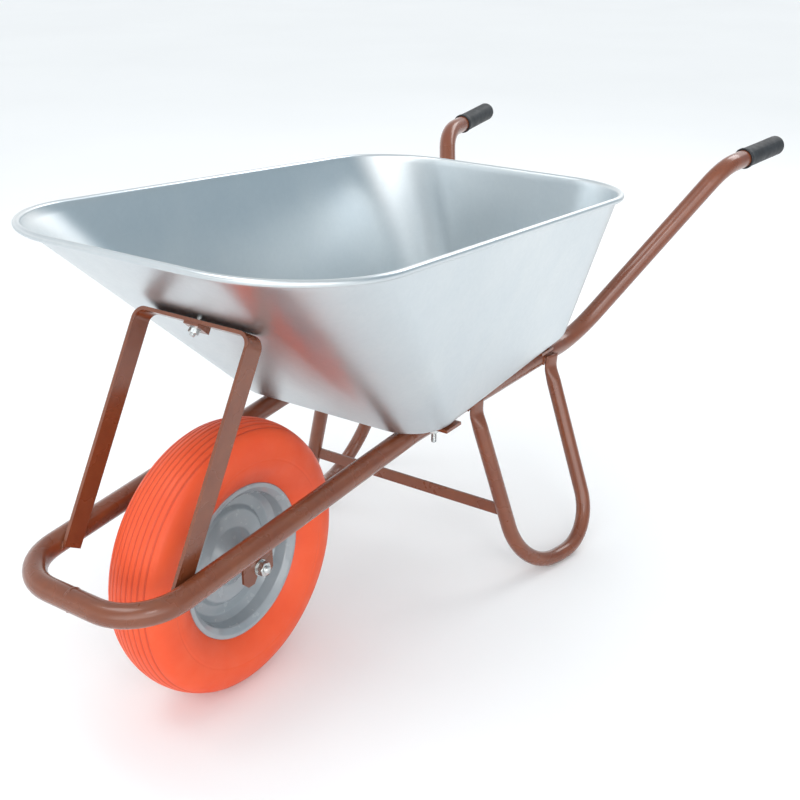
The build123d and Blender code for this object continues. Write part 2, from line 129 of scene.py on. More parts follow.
def piece(name, points, faces, material, smooth=True):
    """A mesh object at the origin from points in metres, with its faces turned outward."""
    data = bpy.data.meshes.new(name)
    data.from_pydata([tuple(p) for p in points], [], faces)
    tidy = bmesh.new()
    tidy.from_mesh(data)
    bmesh.ops.remove_doubles(tidy, verts=tidy.verts, dist=0.000002)
    bmesh.ops.recalc_face_normals(tidy, faces=tidy.faces)
    tidy.to_mesh(data)
    tidy.free()
    made = placed_in_scene(name, data)
    data.materials.append(material)
    for face in data.polygons:
        face.use_smooth = smooth
    return made


def rows_to_faces(rows, closed_rows, closed_loop):
    """Joins rows of equal length. Rows close on themselves, and the last row may meet the first."""
    width = len(rows[0])
    count = len(rows)
    faces = []
    for r in range(count if closed_loop else count - 1):
        following = (r + 1) % count
        for c in range(width if closed_rows else width - 1):
            right = (c + 1) % width
            faces.append(
                (r * width + c, r * width + right, following * width + right, following * width + c)
            )
    return faces


def surface(name, rows, material, closed_rows=True, closed_loop=False, caps=True):
    """A skin over rows of points. Open ends of closed rows get caps."""
    points = [p for row in rows for p in row]
    faces = rows_to_faces(rows, closed_rows, closed_loop)
    if caps and closed_rows and not closed_loop:
        width = len(rows[0])
        faces.append(tuple(range(width - 1, -1, -1)))
        faces.append(tuple(range(len(points) - width, len(points))))
    return piece(name, points, faces, material)


def turned(name, profile, material, steps=192):
    """A closed profile of (radius, side) in mm turned about the axle."""
    rows = []
    for n in range(steps):
        angle = 2 * math.pi * n / steps
        out = Vector((math.cos(angle), 0, math.sin(angle)))
        rows.append([axle + out * r * MM + Vector((0, y * MM, 0)) for r, y in profile])
    return surface(name, rows, material, closed_rows=True, closed_loop=True)


def sheet_profile(middle, thickness):
    """A closed profile of a bent sheet from its middle line: out along one side and back on the other."""
    one, other = [], []
    for n, here in enumerate(middle):
        before = middle[max(n - 1, 0)]
        after = middle[min(n + 1, len(middle) - 1)]
        along = (after - before).normalized()
        across = Vector((-along.y, along.x)) * thickness / 2
        one.append(here + across)
        other.append(here - across)
    return one + other[::-1]


def rounded_profile(points, radii, steps=8):
    """A flat line of (radius, side) with its inner corners rounded."""
    flat = [Vector((a, b, 0)) for a, b in points]
    return [Vector((p.x, p.y)) for p in bent_points(flat, radii, steps)]


def spun(name, origin, direction, radius_at, heights, material, steps=96):
    """A shape about its own axis: radius_at(angle, height) in mm at each of the given heights in mm."""
    direction = direction.normalized()
    side = direction.orthogonal().normalized()
    up = direction.cross(side)
    rows = []
    for height in heights:
        row = []
        for n in range(steps):
            angle = 2 * math.pi * n / steps
            out = side * math.cos(angle) + up * math.sin(angle)
            row.append(origin + direction * height * MM + out * radius_at(angle, height) * MM)
        rows.append(row)
    return surface(name, rows, material)


def nut_shape(flats, height, bore):
    """A hexagon nut: flat sides whose corners are turned off by a cone at both ends."""
    cone = flats / 2 * 0.97

    def radius_at(angle, level):
        flat = flats / 2 / math.cos((angle + math.pi / 6) % (math.pi / 3) - math.pi / 6)
        return min(flat, cone + level * 1.7, cone + (height - level) * 1.7)

    fine = [0, 0.15, 0.3, 0.5, 0.75, 1.0, 1.3, 1.7]
    return radius_at, fine + [height / 2] + [height - f for f in reversed(fine)]


def thread_shape(radius, pitch, length, end_chamfer=1.0):
    """A screw thread: a 60 degree groove that winds along the shank, with a turned end."""
    depth = pitch * 0.5

    def radius_at(angle, level):
        turn = (level / pitch - angle / (2 * math.pi)) % 1.0
        ridge = 1 - abs(2 * turn - 1)
        crest = radius - depth * (1 - min(ridge * 1.25, 1.0))
        return min(crest, radius - end_chamfer + (length - level))

    return radius_at, [
        length * n / (12 * math.ceil(length / pitch)) for n in range(12 * math.ceil(length / pitch) + 1)
    ]


def joined(name, objects):
    """One object out of several, keeping every material."""
    whole = bmesh.new()
    materials = []
    for one in objects:
        offset = len(whole.faces)
        slots = []
        for material in one.data.materials:
            if material not in materials:
                materials.append(material)
            slots.append(materials.index(material))
        whole.from_mesh(one.data)
        whole.faces.ensure_lookup_table()
        for face in whole.faces[offset:]:
            face.material_index = slots[face.material_index]
    data = bpy.data.meshes.new(name)
    whole.to_mesh(data)
    whole.free()
    for material in materials:
        data.materials.append(material)
    made = placed_in_scene(name, data)
    for one in objects:
        bpy.data.objects.remove(one, do_unlink=True)
    return made


# %% [markdown]
# ## Materials
# Every surface is procedural. Patterns read Object coordinates, which are metres here because the
# pieces sit at the origin unscaled, so a noise scale of 1 / 0.004 gives spots about 4 mm apart.
# Colours are given as they look on a screen and turned into linear light by one function.

# %% Material helpers
def linear(code):
    channels = [int(code[n:n + 2], 16) / 255 for n in (1, 3, 5)]
    return [c / 12.92 if c <= 0.04045 else ((c + 0.055) / 1.055) ** 2.4 for c in channels] + [1.0]


def add(tree, kind, inputs=None, **settings):
    """Adds a node, sets its properties and fills or links its inputs by name or number."""
    made = tree.nodes.new(kind)
    for key, value in settings.items():
        setattr(made, key, value)
    for key, value in (inputs or {}).items():
        if isinstance(value, bpy.types.NodeSocket):
            tree.links.new(value, made.inputs[key])
        else:
            made.inputs[key].default_value = value
    return made


def new_material(name, **constants):
    """A Principled material with its constants on the shader's own sockets."""
    made = bpy.data.materials.new(name)
    made.use_nodes = True
    tree = made.node_tree
    shader = next(n for n in tree.nodes if n.type == "BSDF_PRINCIPLED")
    for key, value in constants.items():
        shader.inputs[key.replace("_", " ").title().replace("Ior", "IOR")].default_value = value
    return made, tree, shader


def spots(tree, size_mm, detail=3.0, roughness=0.5, stretch=(1, 1, 1)):
    """Noise whose features are about size_mm across, from 0 to 1."""
    place = add(tree, "ShaderNodeTexCoord").outputs["Object"]
    scaled = add(
        tree, "ShaderNodeMapping", {"Vector": place, "Scale": [s / (size_mm * MM) for s in stretch]},
    )
    noise = add(
        tree, "ShaderNodeTexNoise",
        {"Vector": scaled.outputs[0], "Scale": 1.0, "Detail": detail, "Roughness": roughness},
    )
    return noise.outputs["Fac"]


def spread(tree, value, low, high, from_low=0.3, from_high=0.7):
    return add(
        tree, "ShaderNodeMapRange", {0: value, 1: from_low, 2: from_high, 3: low, 4: high},
    ).outputs[0]


def mixed(tree, share, first, second):
    made = add(tree, "ShaderNodeMix", {0: share}, data_type="RGBA")
    for socket, value in ((made.inputs[6], first), (made.inputs[7], second)):
        if isinstance(value, bpy.types.NodeSocket):
            tree.links.new(value, socket)
        else:
            socket.default_value = value
    return made.outputs[2]


def give(value, shader, socket):
    """Links a value to one of the shader's own sockets."""
    shader.id_data.links.new(value, shader.inputs[socket])


def bumped(tree, height, distance_mm, normal=None, strength=1.0):
    inputs = {"Height": height, "Distance": distance_mm * MM, "Strength": strength}
    if normal is not None:
        inputs["Normal"] = normal
    return add(tree, "ShaderNodeBump", inputs).outputs[0]


def softened(tree, radius_mm):
    """Edges rounded for the eye, as paint and handling leave them."""
    return add(tree, "ShaderNodeBevel", {"Radius": radius_mm * MM}, samples=6).outputs[0]


def edge_wear(tree, rounded):
    """About 1 on sharp outer and inner edges and 0 on open surfaces."""
    flat = add(tree, "ShaderNodeNewGeometry").outputs["Normal"]
    same = add(
        tree, "ShaderNodeVectorMath", {0: rounded, 1: flat}, operation="DOT_PRODUCT",
    ).outputs["Value"]
    return spread(tree, same, 1.0, 0.0, 0.72, 0.93)


# %% [markdown]
# ### Brown paint on steel tube
# The frame is welded first and then dipped or sprayed, so the paint runs over the welds. It is
# semi-gloss with a fine orange peel, a slightly uneven shade and thin, lighter edges.

# %% Brown paint
def brown_paint(name, rough_mm=2.4, rough_depth=0.035, weld=False):
    made, tree, shader = new_material(name, metallic=0.0, coat_weight=0.35, coat_roughness=0.12)
    rounded = softened(tree, 0.6)
    shade = mixed(
        tree, spread(tree, spots(tree, 55.0, 4.0), 0.0, 1.0), linear("#70381F"), linear("#7B4328"),
    )
    fine = mixed(tree, spread(tree, spots(tree, 12.0, 4.0, 0.55), 0.0, 0.25), shade, linear("#5A3021"))
    worn = add(
        tree, "ShaderNodeMath",
        {0: edge_wear(tree, rounded), 1: spread(tree, spots(tree, 9.0, 4.0), 0.0, 0.3)},
        operation="MULTIPLY",
    )
    colour = mixed(tree, worn.outputs[0], fine, linear("#A98A7C"))
    give(colour, shader, "Base Color")
    give(spread(tree, spots(tree, 60.0, 3.0, 0.5), 0.24, 0.32), shader, "Roughness")
    peel = bumped(tree, spots(tree, rough_mm, 2.0), rough_depth, rounded)
    if weld:
        peel = bumped(tree, spots(tree, 1.1, 3.0, 0.6), 0.12, peel)
    give(peel, shader, "Normal")
    return made


# Smooth sprayed paint: the eye reads soft window-like streaks along the tubes.
paint = brown_paint("brown paint, sprayed on steel")
# The same paint over a weld: rougher, so its highlights break up.
paint_on_weld = brown_paint("brown paint over weld", weld=True)
print("paint ready")

# %% [markdown]
# ### Bright galvanised sheet
# The tray is drawn from zinc-coated sheet. It mirrors the room softly: a faint spangle, drawing lines
# that run up the walls and very shallow waves in the sheet give it its lively look.

# %% Galvanised sheet
def galvanised(name):
    made, tree, shader = new_material(name, metallic=1.0)
    place = add(tree, "ShaderNodeTexCoord").outputs["Object"]
    cells = add(
        tree, "ShaderNodeTexVoronoi", {"Vector": place, "Scale": 1 / 0.006, "Randomness": 1.0},
        feature="F1",
    )
    spangle = add(tree, "ShaderNodeSeparateColor", {0: cells.outputs["Color"]}).outputs[0]
    cloud = spread(tree, spots(tree, 160.0, 4.0, 0.55), 0.0, 1.0)
    base = mixed(tree, cloud, linear("#C9D0D4"), linear("#D2D7D9"))
    base = mixed(tree, spread(tree, spangle, 0.0, 0.07, 0.0, 1.0), base, linear("#B4BDC2"))
    smear = spread(tree, spots(tree, 60.0, 5.0, 0.6, (1, 1, 0.12)), 0.0, 0.10, 0.5, 0.8)
    base = mixed(tree, smear, base, linear("#E0E1DC"))
    give(base, shader, "Base Color")
    rough = add(
        tree, "ShaderNodeMath",
        {
            0: spread(tree, spots(tree, 120.0, 3.0, 0.5), 0.33, 0.38),
            1: spread(tree, spangle, -0.01, 0.015, 0.0, 1.0),
        },
        operation="ADD",
    )
    give(rough.outputs[0], shader, "Roughness")
    waves = bumped(tree, spots(tree, 230.0, 0.0), 0.9, softened(tree, 0.4))
    lines = bumped(tree, spots(tree, 5.0, 3.0, 0.6, (1, 1, 0.05)), 0.002, waves)
    give(lines, shader, "Normal")
    return made


zinc_sheet = galvanised("galvanised sheet, drawn")

# %% [markdown]
# ### The wheel's materials
# The tyre is foamed polyurethane: one strong colour through, a dull moulded skin and a little light
# that sinks in. The rim is pressed steel in grey gloss paint. The bushes are nylon.

# %% Foam, rim paint, nylon
foam, tree, shader = new_material(
    "orange foam, moulded", metallic=0.0, subsurface_weight=0.12, specular_ior_level=0.4,
)
shader.inputs["Subsurface Radius"].default_value = (0.004, 0.0012, 0.0006)
shade = mixed(tree, spread(tree, spots(tree, 70.0, 4.0), 0.0, 1.0), linear("#DE4E25"), linear("#E4572D"))
# Painted shade: the bottoms of the grooves are painted darker, as shade falls there.
groove = add(tree, "ShaderNodeAttribute", attribute_name="groove").outputs["Fac"]
shade = mixed(tree, spread(tree, groove, 0.0, 0.55, 0.0, 1.0), shade, linear("#A8351C"))
scuff = spread(tree, spots(tree, 11.0, 6.0, 0.7), 0.0, 0.14, 0.52, 0.8)
give(mixed(tree, scuff, shade, linear("#DC6F52")), shader, "Base Color")
give(spread(tree, spots(tree, 25.0, 5.0), 0.42, 0.58), shader, "Roughness")
skin = bumped(tree, spots(tree, 0.8, 2.0), 0.03)
give(bumped(tree, spots(tree, 18.0, 3.0), 0.25, skin), shader, "Normal")

rim_paint, tree, shader = new_material(
    "grey gloss paint, on pressed steel", metallic=0.0, coat_weight=0.5, coat_roughness=0.06,
)
shade = mixed(tree, spread(tree, spots(tree, 40.0, 4.0), 0.0, 1.0), linear("#8C9398"), linear("#969CA0"))
edge = softened(tree, 0.5)
give(mixed(tree, edge_wear(tree, edge), shade, linear("#B7BDC0")), shader, "Base Color")
give(spread(tree, spots(tree, 20.0, 5.0), 0.16, 0.30), shader, "Roughness")
give(
    bumped(tree, spots(tree, 3.0, 2.0), 0.02, bumped(tree, spots(tree, 60.0, 0.0), 0.25, edge)), shader,
    "Normal",
)

nylon, tree, shader = new_material(
    "white nylon, moulded", metallic=0.0, subsurface_weight=0.2, roughness=0.4,
)
give(
    mixed(tree, spread(tree, spots(tree, 4.0, 3.0), 0.0, 1.0), linear("#DAD8CE"), linear("#E8E6DD")),
    shader, "Base Color",
)
give(bumped(tree, spots(tree, 0.6, 2.0), 0.02, softened(tree, 0.3)), shader, "Normal")
print("wheel materials ready")

# %% [markdown]
# ### Grips and fasteners
# The grips are black soft plastic with a spark-eroded, dull skin. The fasteners are steel with bright
# zinc plating, which is a little cloudy and lighter on its edges.

# %% Grip plastic and zinc plating
grip_plastic, tree, shader = new_material(
    "black soft plastic, moulded", metallic=0.0, specular_ior_level=0.45,
)
shade = mixed(tree, spread(tree, spots(tree, 22.0, 4.0), 0.0, 1.0), linear("#1A1C1F"), linear("#25282C"))
dust = spread(tree, spots(tree, 6.0, 6.0, 0.7), 0.0, 0.25, 0.5, 0.8)
give(mixed(tree, dust, shade, linear("#383B3F")), shader, "Base Color")
give(spread(tree, spots(tree, 12.0, 5.0), 0.48, 0.66), shader, "Roughness")
give(bumped(tree, spots(tree, 0.5, 2.0), 0.05, softened(tree, 0.5)), shader, "Normal")

zinc, tree, shader = new_material("bright zinc plating, on steel", metallic=1.0)
edge = softened(tree, 0.25)
shade = mixed(
    tree, spread(tree, spots(tree, 3.0, 5.0, 0.6), 0.0, 1.0), linear("#BFC4C6"), linear("#D9DBD8"),
)
give(mixed(tree, edge_wear(tree, edge), shade, linear("#E6E7E4")), shader, "Base Color")
give(spread(tree, spots(tree, 1.6, 4.0), 0.20, 0.36), shader, "Roughness")
give(bumped(tree, spots(tree, 0.7, 2.0), 0.015, edge), shader, "Normal")
print("materials:", len(bpy.data.materials))

# %% [markdown]
# ## The tyre
# A solid foam tyre is moulded in two halves. Its tread has plain ribs that run right round, so it
# rolls easily on planks, and the sidewalls are smooth but for one fine ring. The plain shape is
# turned here, and a Geometry Nodes tree then sinks the grooves by a rule of the distance from the
# wheel's middle. The same tree keeps the depth as an attribute, for painted shade in the groove bottoms.

# %% Tyre body
tyre_radius = 200.0
tread_half = 36.0


def tyre_profile():
    """The tyre's closed section as (radius, side): the lip at the rim, sidewall, shoulder and tread."""
    wall = [
        (115.2, 33.4), (117.5, 35.6), (123, 39.8), (131, 44.4), (140, 47.9), (150, 49.6), (158, 49.9),
        (167, 49.0),
    ]
    wall += [(175, 47.0), (182, 44.0), (187.6, 40.0), (191.0, 36.0)]
    fine = []
    for n in range(len(wall) - 1):
        before, after = wall[max(n - 1, 0)], wall[min(n + 2, len(wall) - 1)]
        for step in range(8):
            t = step / 8
            fine.append(tuple(
                0.5 * (
                    2 * b + (c - a) * t + (
                        2 * a - 5 * b + 4 * c - d
                    ) * t * t + (3 * b - a - 3 * c + d) * t ** 3
                )
                for a, b, c, d in zip(before, wall[n], wall[n + 1], after)
            ))
    crown_radius = (tyre_radius - 191.0) / 2 + tread_half ** 2 / (2 * (tyre_radius - 191.0))
    crown = []
    for n in range(145):
        side = between(tread_half, -tread_half, n / 144)
        crown.append((tyre_radius - crown_radius + math.sqrt(crown_radius ** 2 - side ** 2), side))
    foot = [(108.0, -31.6), (101.6, -26.0), (101.6, 26.0), (108.0, 31.6)]
    return fine + crown + [(r, -y) for r, y in reversed(fine)] + foot


tyre = turned("tyre_visual", tyre_profile(), foam, steps=256)
print("tyre faces", len(tyre.data.polygons))

# %% Tread ribs by Geometry Nodes
def node_group(name, inputs):
    """An empty Geometry Nodes tree with named inputs, each (name, socket type, default)."""
    tree = bpy.data.node_groups.new(name, "GeometryNodeTree")
    tree.interface.new_socket("Geometry", in_out="INPUT", socket_type="NodeSocketGeometry")
    for label, kind, default in inputs:
        made = tree.interface.new_socket(label, in_out="INPUT", socket_type=kind)
        if default is not None:
            made.default_value = default
    tree.interface.new_socket("Geometry", in_out="OUTPUT", socket_type="NodeSocketGeometry")
    return tree, tree.nodes.new("NodeGroupInput").outputs, tree.nodes.new("NodeGroupOutput")


def grown(source, tree, values, name):
    """Runs a tree on an object and returns the result as a plain mesh object in its place."""
    modifier = source.modifiers.new(tree.name, "NODES")
    modifier.node_group = tree
    for item in tree.interface.items_tree:
        if item.item_type == "SOCKET" and item.in_out == "INPUT" and item.name in values:
            modifier[item.identifier] = values[item.name]
    graph = bpy.context.evaluated_depsgraph_get()
    data = bpy.data.meshes.new_from_object(
        source.evaluated_get(graph), preserve_all_data_layers=True, depsgraph=graph,
    )
    data.name = name
    made = placed_in_scene(name, data)
    source.modifiers.clear()
    bpy.data.objects.remove(source, do_unlink=True)
    return made


def maths(tree, operation, *values, clamp=False):
    return add(
        tree, "ShaderNodeMath", dict(enumerate(values)), operation=operation, use_clamp=clamp,
    ).outputs[0]


def coated_result(tree, last, given, result):
    """The end of every tree: real geometry with its material."""
    real = add(tree, "GeometryNodeRealizeInstances", {"Geometry": last.outputs[0]})
    coated = add(
        tree, "GeometryNodeSetMaterial", {"Geometry": real.outputs[0], "Material": given["Material"]},
    )
    tree.links.new(coated.outputs[0], result.inputs[0])
    return tree


def tread_tree():
    """Sinks even grooves between ribs, fading at the tread's edges, towards the axle."""
    tree, given, result = node_group("tread ribs", [
        ("Axle X", "NodeSocketFloat", 0.0),
        ("Axle Z", "NodeSocketFloat", 0.2),
        ("Rib Pitch", "NodeSocketFloat", 0.0085),
        ("Groove Depth", "NodeSocketFloat", 0.002),
        ("Groove Share", "NodeSocketFloat", 0.4),
        ("Tread Half", "NodeSocketFloat", 0.036),
        ("Ring Radius", "NodeSocketFloat", 0.152),
        ("Ring Depth", "NodeSocketFloat", 0.0005),
        ("Material", "NodeSocketMaterial", None),
    ])
    calc = partial(maths, tree)
    place = add(tree, "GeometryNodeInputPosition").outputs[0]
    parts = add(tree, "ShaderNodeSeparateXYZ", {0: place}).outputs
    east = calc("SUBTRACT", parts[0], given["Axle X"])
    height = calc("SUBTRACT", parts[2], given["Axle Z"])
    radius = calc("SQRT", calc("ADD", calc("MULTIPLY", east, east), calc("MULTIPLY", height, height)))
    angle = calc("ARCTAN2", height, east)
    # The grooves wander by a fraction of a millimetre, as a mould cut by hand does.
    wander = calc("MULTIPLY", calc("SINE", calc("MULTIPLY", angle, 9.0)), 0.00018)
    side = calc("ADD", parts[1], wander)
    cycle = calc(
        "PINGPONG", calc("ADD", side, calc("MULTIPLY", given["Rib Pitch"], 0.5)),
        calc("MULTIPLY", given["Rib Pitch"], 0.5),
    )
    share = calc("DIVIDE", cycle, calc("MULTIPLY", given["Rib Pitch"], 0.5))
    groove = calc("SUBTRACT", 1.0, calc("DIVIDE", share, given["Groove Share"]), clamp=True)
    groove = calc("SMOOTH_MIN", calc("MULTIPLY", groove, 1.6), 1.0, 0.3)
    on_tread = add(
        tree, "ShaderNodeMapRange",
        {
            0: calc("ABSOLUTE", parts[1]), 1: calc("SUBTRACT", given["Tread Half"], 0.0015),
            2: calc("ADD", given["Tread Half"], 0.0015), 3: 1.0, 4: 0.0,
        },
    ).outputs[0]
    high = add(tree, "ShaderNodeMapRange", {0: radius, 1: 0.184, 2: 0.187, 3: 0.0, 4: 1.0}).outputs[0]
    depth = calc("MULTIPLY", calc("MULTIPLY", groove, on_tread), high)
    sink = calc("MULTIPLY", depth, calc("MULTIPLY", given["Groove Depth"], -1.0))
    # A fine sunk ring on each sidewall, left by the joint between the mould and its insert.
    near_ring = calc(
        "SUBTRACT", 1.0,
        calc("DIVIDE", calc("ABSOLUTE", calc("SUBTRACT", radius, given["Ring Radius"])), 0.0022),
        clamp=True,
    )
    outward = calc(
        "MULTIPLY", calc("MULTIPLY", calc("SIGN", parts[1]), near_ring),
        calc("MULTIPLY", given["Ring Depth"], -1.0),
    )
    inward = add(
        tree, "ShaderNodeCombineXYZ",
        {
            1: outward, 0: calc("MULTIPLY", calc("DIVIDE", east, radius), sink),
            2: calc("MULTIPLY", calc("DIVIDE", height, radius), sink),
        },
    ).outputs[0]
    # The depth is kept as the groove attribute, which the foam colour uses for painted shade in the groove
    # bottoms.
    kept = add(
        tree, "GeometryNodeStoreNamedAttribute",
        {"Geometry": given["Geometry"], "Name": "groove", "Value": depth}, data_type="FLOAT",
        domain="POINT",
    )
    moved = add(tree, "GeometryNodeSetPosition", {"Geometry": kept.outputs[0], "Offset": inward})
    return coated_result(tree, moved, given, result)


tyre = grown(
    tyre, tread_tree(),
    {
        "Axle X": axle.x, "Axle Z": axle.z, "Rib Pitch": 0.0088, "Groove Depth": 0.0009,
        "Groove Share": 0.42, "Tread Half": tread_half * MM, "Material": foam,
    },
    "tyre_visual",
)
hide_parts("tyre")
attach(tyre, "wheel")
print("tyre done:", len(tyre.data.vertices), "points")

# %% [markdown]
# ## The rim
# Two pressed dishes are joined back to back. Each has a rolled lip for the tyre, a seat, a flat ring
# where the two meet and a raised middle with a cone that holds the hub tube.

# %% Rim halves
def rim_half(name, side, node_name):
    line = rounded_profile([
        (114.4, side * 31.6), (113.9, side * 34.0),
        (109.0, side * 34.2), (101.2, side * 28.0), (98.5, side * 10.4),
        (90.5, side * 1.06), (74.5, side * 1.06), (68.5, side * 8.0),
        (44.0, side * 8.0), (24.0, side * 22.0), (17.1, side * 30.0),
    ], [1.2, 2.6, 4.0, 4.0, 5.0, 5.0, 5.0, 8.0, 8.0])
    made = turned(name, sheet_profile(line, 2.0), rim_paint, steps=192)
    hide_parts(node_name)
    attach(made, "wheel")
    return made


outer_rim = rim_half("outer_rim_visual", 1, "outer_rim_half")
rim_half("inner_rim_visual", -1, "inner_rim_half")
print("rim faces", len(outer_rim.data.polygons))

# %% [markdown]
# ## The tray
# The tray is one drawn sheet: a flat floor, walls that lean out, most of all at the front, round
# corners and a bead rolled outward along the edge, which makes the rim stiff and kind to hands.
# The same outlines as in the CAD are followed: a floor outline, a rim outline and straight walls
# between them, with a 30 mm round where the walls meet the floor.

# %% Tray outlines
rim_front = (-151.0, 294.0, 677.0)
rim_rear = (767.0, 268.0, 607.0)
floor_front = (228.0, 197.0, floor_height)
floor_rear = (764.0, 152.0, floor_height)


def tray_outline(front, rear, front_corner, rear_corner, inset, sides=(40, 26)):
    """A closed outline, always with the same number of points, drawn in by the inset."""
    def spot(data, sign, pull):
        return at(data[0] + pull, sign * (data[1] - inset), data[2])
    corners = [spot(front, -1, inset), spot(front, 1, inset), spot(rear, 1, -inset), spot(rear, -1, -inset)]
    radii = [front_corner - inset, front_corner - inset, rear_corner - inset, rear_corner - inset]
    arcs = []
    for n in range(4):
        trio = [corners[n - 1], corners[n], corners[(n + 1) % 4]]
        arcs.append(bent_points(trio, [radii[n] * MM], sides[1])[1:-1])
    line = []
    for n in range(4):
        line += arcs[n]
        start, end = arcs[n][-1], arcs[(n + 1) % 4][0]
        line += [start.lerp(end, step / sides[0]) for step in range(1, sides[0])]
    return line


def tilt_rim_height(points):
    """Rim points keep the plane through the front and rear heights."""
    for p in points:
        back = (axle.x - p.x) / MM
        share = (back - rim_front[0]) / (rim_rear[0] - rim_front[0])
        p.z = between(rim_front[2], rim_rear[2], share) * MM
    return points


roll_radius = 5.0
middle_inset = roll_radius - sheet / 2
rim_line = tilt_rim_height(tray_outline(rim_front, rim_rear, 167.0, 143.0, 0.0))
wall_top = tilt_rim_height(tray_outline(rim_front, rim_rear, 167.0, 143.0, middle_inset))
wall_foot = tray_outline(floor_front, floor_rear, 72.0, 72.0, sheet / 2)
for p in wall_foot:
    p.z = (floor_height + sheet / 2) * MM
print("tray outline points", len(rim_line))

# %% Tray sheet
def tray_rows():
    """One row of points for each stop on the way from the floor's middle up to the end of the rolled bead."""
    count = len(rim_line)
    slope = math.atan2((rim_front[2] - rim_rear[2]), (rim_rear[0] - rim_front[0]))
    up = Vector((-math.sin(slope), 0, math.cos(slope)))
    columns = []
    bend = 29.4 * MM
    for n in range(count):
        foot, top = wall_foot[n], wall_top[n]
        along = (wall_foot[(n + 1) % count] - wall_foot[n - 1]).normalized()
        inward = Vector((0, 0, 1)).cross(along)
        if inward.dot(at(500, 0, floor_height) - foot) < 0:
            inward = -inward
        rise = (top - foot).normalized()
        column = bent_points([foot + inward * bend * 1.4, foot, top], [bend], 12)[1:-1]
        column += [column[-1].lerp(top, step / 26) for step in range(1, 27)]
        outward = (rim_line[n] - top).normalized()
        centre = rim_line[n]
        arm = middle_inset * MM
        for step in range(1, 25):
            turn = math.radians(180 - 325 * step / 24)
            column.append(centre + outward * math.cos(turn) * arm + up * math.sin(turn) * arm)
        columns.append(column)
    middle = at(500, 0, floor_height + sheet / 2)
    for column in columns:
        edge = column[0].copy()
        column[0:0] = [Vector((*middle.lerp(edge, share).xy, edge.z)) for share in (0.25, 0.5, 0.75, 0.9)]
    return [[column[row] for column in columns] for row in range(len(columns[0]))]


def tray_skin():
    rows = tray_rows()
    points = [p for row in rows for p in row]
    faces = rows_to_faces(rows, True, False)
    faces.append(tuple(range(len(rows[0]))))
    made = piece("tray_visual", points, faces, zinc_sheet)
    return made


tray = tray_skin()
bpy.context.view_layer.objects.active = tray
thick = tray.modifiers.new("sheet", "SOLIDIFY")
thick.thickness = sheet * MM
thick.offset = 0.0
thick.use_even_offset = True
graph = bpy.context.evaluated_depsgraph_get()
solid = bpy.data.meshes.new_from_object(tray.evaluated_get(graph))
tray.modifiers.clear()
tray.data = solid
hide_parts("tray")
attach(tray, "frame")
print("tray faces", len(tray.data.polygons))

# %% [markdown]
# ## Legs
# Each leg is one tube bent into a loop. Its two ends are squeezed nearly flat in a press, so that
# they lie against the outer side of the frame tube, and are welded there. The foot of the loop is
# slightly flattened where it stands.

# %% Leg loops with pressed ends
pressed_flat, pressed_fade = 14, 52  # mm from an end: fully pressed, then round again
pressed_half, pressed_spread = 4.2, 1.22
points_around = 40


def leg(name, side, node_name):
    bed_front, bed_rear = (436.0, 128.5), (679.0, 132.6)
    hug = 21.6  # from the frame tube to the pressed end, middle to middle
    corners = [
        at(bed_front[0] - 1, side * (bed_front[1] + hug), 320.0),
        at(bed_front[0], side * (bed_front[1] + hug - 1.5), 296.0),
        at(463.0, side * 231.0, leg_radius),
        at(652.0, side * 266.0, leg_radius),
        at(bed_rear[0], side * (bed_rear[1] + hug - 1.5), 296.0),
        at(bed_rear[0] + 1, side * (bed_rear[1] + hug), 320.0),
    ]
    line = spaced(bent_points(corners, [40 * MM, 108 * MM, 84 * MM, 40 * MM], 20), 4 * MM)
    total = sum((b - a).length for a, b in zip(line, line[1:])) / MM
    loop_normal = (corners[3] - corners[2]).cross(corners[1] - corners[2]).normalized()
    if loop_normal.y * side < 0:
        loop_normal = -loop_normal
    rows, gone = [], 0.0
    for n, here in enumerate(line):
        if n:
            gone += (here - line[n - 1]).length / MM
        along = (line[min(n + 1, len(line) - 1)] - line[max(n - 1, 0)]).normalized()
        out = (loop_normal - along * loop_normal.dot(along)).normalized()
        wide = along.cross(out)
        press = 1 - smooth_step(pressed_flat, pressed_fade, min(gone, total - gone))
        thick = between(leg_radius, pressed_half, press)
        breadth = between(leg_radius, leg_radius * pressed_spread, press)
        power = between(1.0, 0.62, press)
        row = []
        for step in range(points_around):
            angle = 2 * math.pi * step / points_around
            c, s = math.cos(angle), math.sin(angle)
            flat = math.copysign(abs(c) ** power, c)
            row.append(here + wide * flat * breadth * MM + out * s * thick * MM)
        rows.append(row)
    for row in rows:
        for p in row:
            p.z = max(p.z, 0.0)
    made = surface(name, rows, paint)
    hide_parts(node_name)
    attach(made, "frame")
    return made


left_leg = leg("left_leg_visual", 1, "left_leg")
leg("right_leg_visual", -1, "right_leg")
print("leg faces", len(left_leg.data.polygons))

# %% [markdown]
# ## Grips
# The grips are moulded sleeves pushed over the tube ends: a thicker collar at the mouth, a long body
# with a faint mould seam and a domed end.

# %% Grips
def lathe(name, origin, direction, profile, material, steps=72, bend=None):
    """A closed profile of (radius, height) in mm turned about any axis."""
    direction = direction.normalized()
    side = direction.orthogonal().normalized()
    up = direction.cross(side)
    rows = []
    for n in range(steps):
        angle = 2 * math.pi * n / steps
        out = side * math.cos(angle) + up * math.sin(angle)
        extra = bend(angle) if bend else 0.0
        rows.append(
            [
                origin + direction * h * MM + out * (
                    r + (extra if r > tube_radius + 1 else 0)
                ) * MM for r, h in profile
            ]
        )
    return surface(name, rows, material, closed_rows=True, closed_loop=True)


dome_round, collar_start, grip_length = 11, 128.0, 136.0


